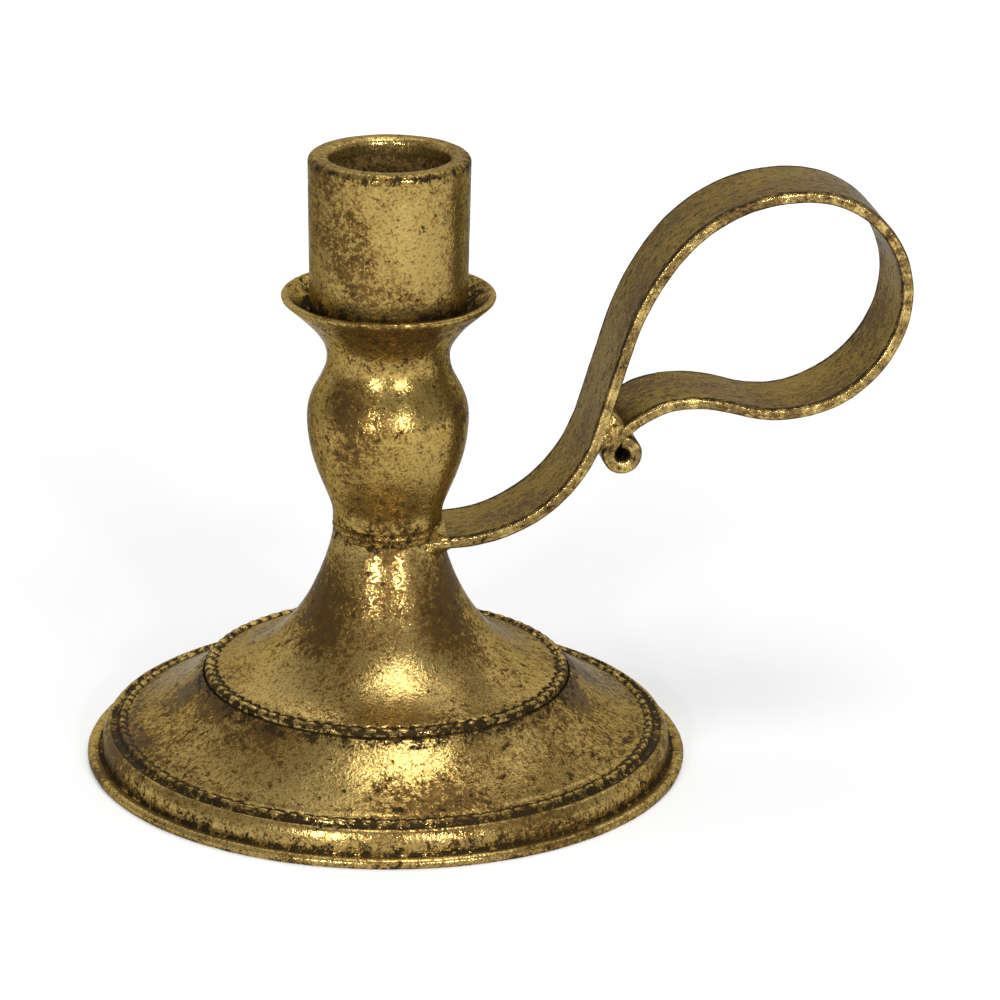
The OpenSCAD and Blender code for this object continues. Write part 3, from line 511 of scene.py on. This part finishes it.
bar_start = Vector((NECK_R + 0.15, JOINT_Z - 0.28))
bar = [bar_start, bar_start + Vector((0.67, 0))]
heading = bend(bar, 0, RISE_R, RISE_A)
riser_foot = bar[-1]
bar += straight(riser_foot, riser_foot + RISER_LEN * way(RISE_A), 24)
for r, a in ((51, -22), (30, -58), (20, -100)):
    heading = bend(bar, heading, r, a)
belly_mid = bar[-1] + 24 * way(heading - 90)
heading = bend(bar, heading, 24, -91)
eye_mid_r = EYE_R + BAR_T / 2
eye_mid = riser_foot + EYE_ALONG * way(RISE_A) + (BAR_T + EYE_GAP + eye_mid_r) * way(RISE_A - 90)
eye_start = eye_mid + eye_mid_r * way(EYE_IN_A - 90)
tail_from = len(bar)
bar += bow(bar[-1], heading, 16, eye_start, EYE_IN_A, 5.5, 60)
bar += arc(eye_mid, eye_mid_r, EYE_IN_A - 90, EYE_IN_A - 90 + EYE_TURN, 40)
neck_full, neck_end = bar_start.x + RISE_R * 0.93, bar_start.x + RISE_R * 0.26
tail_steps = (riser_foot.x + 10.2, riser_foot.x + 14, belly_mid.x + 3.2, belly_mid.x + 12.2)


def part_of(x, a, b):
    """How far x has come from a to b, from 0 to 1."""
    return min(1.0, max(0.0, (x - a) / (b - a)))


def half_width(p, i):
    """Half the bar's width at a point of its path: filed narrower to the neck and on its tail."""
    if p.x < neck_full and i < tail_from / 2:
        return (BAR_NECK_W + (BAR_W - BAR_NECK_W) * part_of(p.x, neck_end, neck_full)) / 2
    if p.y < 78 and i > tail_from / 2:
        slim = part_of(p.x, tail_steps[0], tail_steps[1]) * (1 - part_of(p.x, tail_steps[2], tail_steps[3]))
        return (BAR_W + (BAR_TAIL_W - BAR_W) * slim) / 2
    return BAR_W / 2


def ring_of(w, h, edge):
    """One cross-section of the bar as (across, out, wear) points, its long edges rounded."""
    side = [-1, -0.965, -0.93, -0.89, -0.85, -0.7, -0.5, -0.3, -0.1, 0.1, 0.3, 0.5, 0.7, 0.85, 0.89, 0.93, 0.965, 1]
    face = [(y * (w - edge), h, -0.8 if abs(y) > 0.92 else 0.0) for y in side]
    corner = [(w - edge + edge * way(a).y, h - edge + edge * way(a).x, m) for a, m in ((25, -0.7), (50, -0.1), (75, 0.3))]
    flat = [(w, (h - edge) * s, m) for s, m in ((1, 0.3), (0.4, 0.1), (-0.4, 0.1), (-1, 0.3))]
    low_corner = [(y, -n, m) for y, n, m in reversed(corner)]
    half = face + corner + flat + low_corner
    return half + [(-y, -n, m) for y, n, m in half]


verts, faces, marks, laid = [], [], [], []
run = 0.0
filing = random.Random(7)
chafed = 0.0
for i, p in enumerate(bar):
    run += (p - bar[max(i - 1, 0)]).length
    u = (bar[min(i + 1, len(bar) - 1)] - bar[max(i - 1, 0)]).normalized()
    out_of = Vector((-u.y, u.x))
    curled = part_of(i, tail_from + 54, tail_from + 66)
    chafed = 0.6 * chafed + filing.uniform(-0.32, 0.34)
    for y, n, m in ring_of(half_width(p, i), BAR_T / 2, 0.55):
        if n > 0:
            n *= 1 + 0.35 * curled
        q = p + n * out_of
        verts.append((q.x * MM, y * MM, q.y * MM))
        marks.append(-0.9 if curled and n > BAR_T / 2 - 0.1 else m + chafed * (abs(n) < BAR_T / 2 - 0.05))
        laid += [run * MM, y * MM, n * MM]
size = len(verts) // len(bar)
for i in range(len(bar) - 1):
    faces += [(i * size + j, i * size + (j + 1) % size, (i + 1) * size + (j + 1) % size, (i + 1) * size + j)
              for j in range(size)]
faces += [tuple(range(size))[::-1], tuple((len(bar) - 1) * size + j for j in range(size))]
bar_mesh = bpy.data.meshes.new("handle_bar_gilt")
bar_mesh.from_pydata(verts, [], faces)
bar_mesh.attributes.new("wear", "FLOAT", "POINT").data.foreach_set("value", marks)
bar_mesh.attributes.new("laid", "FLOAT_VECTOR", "POINT").data.foreach_set("vector", laid)
gilt_bar = antique_gilt("dull antique gilt on bent brass", "#8d7648", "#5d4825", bare_by=0.03, shift=0.52,
                        follow="laid", stretch=(1.0, 1.8, 1.8))
handle = dressed("handle_bar_gilt", bar_mesh, 50)
worked(handle, dent_depth=0.22 * MM, dent_size=3.5 * MM, seed=7.0, finish=gilt_bar)
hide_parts("handle_bar")
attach(handle, "root")

# Braze metal
# Hard solder, run in with a torch at the two places where the bar is held, and left lumpy
# under the gilding. One web joins neck, cone and bar, and one lump fills the loop's wedge.
WEB_DROP, WEB_OUT, WEB_FULL_A, WEB_END_A = 2.2, 3.8, 38, 57
LUMP_LOW, LUMP_LEN, LUMP_HALF_W = EYE_ALONG - 0.4, 8.6, 9.95


def looped(name, rings):
    """A closed mesh through closed rings of points in millimetres, one behind the other."""
    n = len(rings[0])
    mesh = bpy.data.meshes.new(name)
    sides = [(k * n + j, k * n + (j + 1) % n, (k + 1) * n + (j + 1) % n, (k + 1) * n + j)
             for k in range(len(rings) - 1) for j in range(n)]
    ends = [tuple(range(n))[::-1], tuple((len(rings) - 1) * n + j for j in range(n))]
    mesh.from_pydata([[c * MM for c in p] for ring in rings for p in ring], [], sides + ends)
    solid = bmesh.new()
    solid.from_mesh(mesh)
    bmesh.ops.recalc_face_normals(solid, faces=solid.faces)
    solid.to_mesh(mesh)
    solid.free()
    return dressed(name, mesh)


def sweep_r(z):
    """The radius of the trumpet's sweep at a height."""
    return min(sweep, key=lambda p: abs(p.y - z)).x


under_z = bar_start.y - BAR_T / 2
web = []
for step in range(81):
    a = WEB_END_A * (step / 40 - 1)
    full = 1 - part_of(abs(a), WEB_FULL_A, WEB_END_A)
    full = full * full * (3 - 2 * full)
    clear = part_of(abs(a), WEB_FULL_A - 8, WEB_FULL_A + 6)
    low_z = under_z - WEB_DROP * (0.3 + 0.7 * full)
    low = Vector((sweep_r(low_z) - 0.25, low_z))
    tip = Vector((NECK_R - 0.25 + WEB_OUT * full, under_z + 0.3 + 0.6 * clear))
    shoulder = Vector((min(tip.x, (bar_start.x + 0.4) / way(a).x), under_z + 0.9 + full))
    top = Vector((NECK_R - 0.25, shoulder.y + 0.3 + 1.2 * full))
    outline = [low] + bow(low, 75, 1.0, tip, 50 + 40 * clear, 0.9, 12) + bow(tip, 90, 0.5, shoulder, 115, 0.5, 6)
    outline += bow(shoulder, 120, 0.8 * full, top, 160, 1.4 * full + 0.1, 8)
    outline += [top - Vector((0.8, 0)), low - Vector((0.8, 0))]
    web.append([(p.x * way(a).x, p.x * way(a).y, p.y) for p in outline])
outline = [riser_foot + LUMP_LOW * way(RISE_A), riser_foot + (LUMP_LOW + LUMP_LEN) * way(RISE_A), bar[tail_from + 43],
           eye_start, eye_mid + eye_mid_r * way(RISE_A + 90)]
for cut in range(4):
    outline = [p * k + q * (1 - k) for p, q in zip(outline, outline[1:] + outline[:1]) for k in (0.75, 0.25)]
middle = sum(outline, Vector((0, 0))) / len(outline)
lump = []
for step in range(61):
    across = step / 30 - 1
    narrow = (1 - abs(across) ** 24) ** 0.5 if abs(across) < 1 else 0.05
    lump.append([((middle + (p - middle) * narrow).x, across * LUMP_HALF_W, (middle + (p - middle) * narrow).y)
                 for p in outline])
gilt_braze = antique_gilt("antique gilt over rough braze", "#b39a5c", "#6e5429",
                          ((11.8, -8, 47.3, 2.6, 0.4),), bare_by=-0.04, shift=0.11)
for node, rings in (("neck_braze", web), ("loop_braze", lump)):
    braze = looped(node + "_gilt", rings)
    braze.modifiers.new("even faces", "SUBSURF").levels = 1
    braze.modifiers["even faces"].render_levels = 1
    worked(braze, dent_depth=0.35 * MM, dent_size=1.6 * MM, seed=2.0, finish=gilt_braze)
    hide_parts(node)
    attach(braze, "root")

# Tabletop
# A pale matt tabletop under the candlestick, which runs on into the white studio behind it and
# keeps the candlestick's shadow. The camera sees it white, and so does the gilding, except behind it on either side,
# where the tabletop is painted darker in the gilding's reflections only.
floor_mesh = bpy.data.meshes.new("floor")
floor_mesh.from_pydata([(-3, -3, 0), (3, -3, 0), (3, 3, 0), (-3, 3, 0)], [], [(0, 1, 2, 3)])
floor = bpy.data.objects.new("floor", floor_mesh)
bpy.context.scene.collection.objects.link(floor)
white = bpy.data.materials.new("matt white tabletop")
white.use_nodes = True
white_tree = white.node_tree
white_tree.nodes.clear()
rays = add(white_tree, "ShaderNodeLightPath").outputs
place = add(white_tree, "ShaderNodeTexCoord").outputs["Object"]
# To the gilding the tabletop is darker behind it on either side, which outlines its round forms
axes = add(white_tree, "ShaderNodeSeparateXYZ", {0: place}).outputs
beside_it = add(white_tree, "ShaderNodeMath", {0: axes["X"]}, operation="ABSOLUTE")
beside_it = add(white_tree, "ShaderNodeMapRange", {"Value": beside_it, "From Min": 0.02, "From Max": 0.09})
behind_it = add(white_tree, "ShaderNodeMapRange", {"Value": axes["Y"], "From Min": 0.02, "From Max": 0.1,
                                                   "To Max": -0.7})
dim = add(white_tree, "ShaderNodeMath", {0: beside_it, 1: behind_it, 2: 1.0}, operation="MULTIPLY_ADD")
dim = add(white_tree, "ShaderNodeMath", {0: rays["Is Glossy Ray"], 1: dim}, operation="MULTIPLY")
seen = add(white_tree, "ShaderNodeMath", {0: rays["Is Camera Ray"], 1: dim}, operation="MAXIMUM")
seen = add(white_tree, "ShaderNodeMath", {0: seen, 1: rays["Is Transmission Ray"]}, operation="MAXIMUM")
away = add(white_tree, "ShaderNodeVectorMath", {0: place}, operation="LENGTH").outputs["Value"]
level = add(white_tree, "ShaderNodeMapRange", {"Value": away, "From Min": 0.12, "From Max": 0.6, "To Min": 0.36,
                                               "To Max": 0.8})
seen = add(white_tree, "ShaderNodeMath", {0: seen, 1: level}, operation="MULTIPLY")
card = add(white_tree, "ShaderNodeBsdfDiffuse", {"Color": linear("#c2c2c2")})
glow = add(white_tree, "ShaderNodeEmission", {"Color": (1, 1, 1, 1), "Strength": seen})
lit = add(white_tree, "ShaderNodeAddShader", {0: card, 1: glow})
add(white_tree, "ShaderNodeOutputMaterial", {"Surface": lit})
floor.data.materials.append(white)

# Studio
# White behind the candlestick, where the camera sees it and the gilding mirrors it, and a
# darker room in front and above, so that the metal has something to reflect besides white.
world = bpy.data.worlds.new("white studio")
world.use_nodes = True
bpy.context.scene.world = world
sky = world.node_tree
sky.nodes.clear()
rays = add(sky, "ShaderNodeLightPath").outputs
facing = add(sky, "ShaderNodeTexCoord").outputs["Generated"]
behind = add(sky, "ShaderNodeVectorMath", {0: facing, 1: (0.25, 0.96, -0.15)}, operation="DOT_PRODUCT").outputs["Value"]
mirrored = add(sky, "ShaderNodeMapRange", {"Value": behind, "From Min": 0.1, "From Max": 0.6, "To Min": 0.34,
                                           "To Max": 1.0})
level = add(sky, "ShaderNodeMix", {0: rays["Is Glossy Ray"], 2: 0.45, 3: mirrored}, data_type="FLOAT")
seen = add(sky, "ShaderNodeMath", {0: rays["Is Camera Ray"], 1: rays["Is Transmission Ray"]}, operation="MAXIMUM")
level = add(sky, "ShaderNodeMix", {0: seen, 2: level, 3: 1.0}, data_type="FLOAT")
studio = add(sky, "ShaderNodeBackground", {"Color": (1, 1, 1, 1), "Strength": level})
add(sky, "ShaderNodeOutputWorld", {"Surface": studio})

# Lamps
# Two pairs of small soft boxes low in front, whose reflections show as a cluster of four on
# every round form, and a long one overhead for the flats of the foot.
HANDLE_TURN = math.degrees(0.15061)


def lamp(name, spot, aim, width, height, watts):
    data = bpy.data.lights.new(name, "AREA")
    data.shape, data.size, data.size_y, data.energy = "RECTANGLE", width, height, watts
    made = bpy.data.objects.new(name, data)
    made.location = spot
    made.rotation_euler = (Vector(aim) - Vector(spot)).to_track_quat("-Z", "Y").to_euler()
    bpy.context.scene.collection.objects.link(made)


for side in (-1, 1):
    for lift in (12, 21):
        turn = math.radians(-90 - HANDLE_TURN + 22 * side)
        far = 1.1 * math.cos(math.radians(lift))
        lamp(f"front_{side}_{lift}", (far * math.cos(turn), far * math.sin(turn), 1.1 * math.sin(math.radians(lift))),
             (0, 0, 0.06), 0.07, 0.07, 2.7)
lamp("overhead_front", (0.1, -0.3, 1.1), (0.1, -0.3, 0.0), 0.45, 0.5, 5.0)
lamp("overhead_back", (0.1, 0.6, 1.1), (0.1, 0.6, 0.0), 0.35, 1.0, 3.0)
lamp("right_high", (0.7, 0.26, 0.95), (0, 0, 0.03), 0.5, 0.5, 1.2)

# Camera
# A long lens at the photograph's viewing angle, found by fitting the rims of foot, collar and
# cup: 895.27 mm in front of the stem and 369.98 mm above the table.
camera_data = bpy.data.cameras.new("camera")
camera_data.lens, camera_data.sensor_width = 180, 36
camera = bpy.data.objects.new("camera", camera_data)
bpy.context.scene.collection.objects.link(camera)
yaw, pitch, roll = 0.02388, 0.34168, 0.01389
ahead = Vector((math.sin(yaw) * math.cos(pitch), math.cos(yaw) * math.cos(pitch), -math.sin(pitch)))
right = Vector((math.cos(yaw), -math.sin(yaw), 0))
above = right.cross(ahead)
level_x = math.cos(roll) * right + math.sin(roll) * above
level_y = math.cos(roll) * above - math.sin(roll) * right
basis = Matrix((level_x, level_y, -ahead)).transposed()
turn_back = Matrix.Rotation(-math.radians(HANDLE_TURN), 3, "Z")
camera.matrix_world = Matrix.Translation(turn_back @ Vector((0, -0.89527, 0.36998))) @ (turn_back @ basis).to_4x4()
bpy.context.scene.camera = camera
bpy.context.scene.view_settings.view_transform = "Standard"
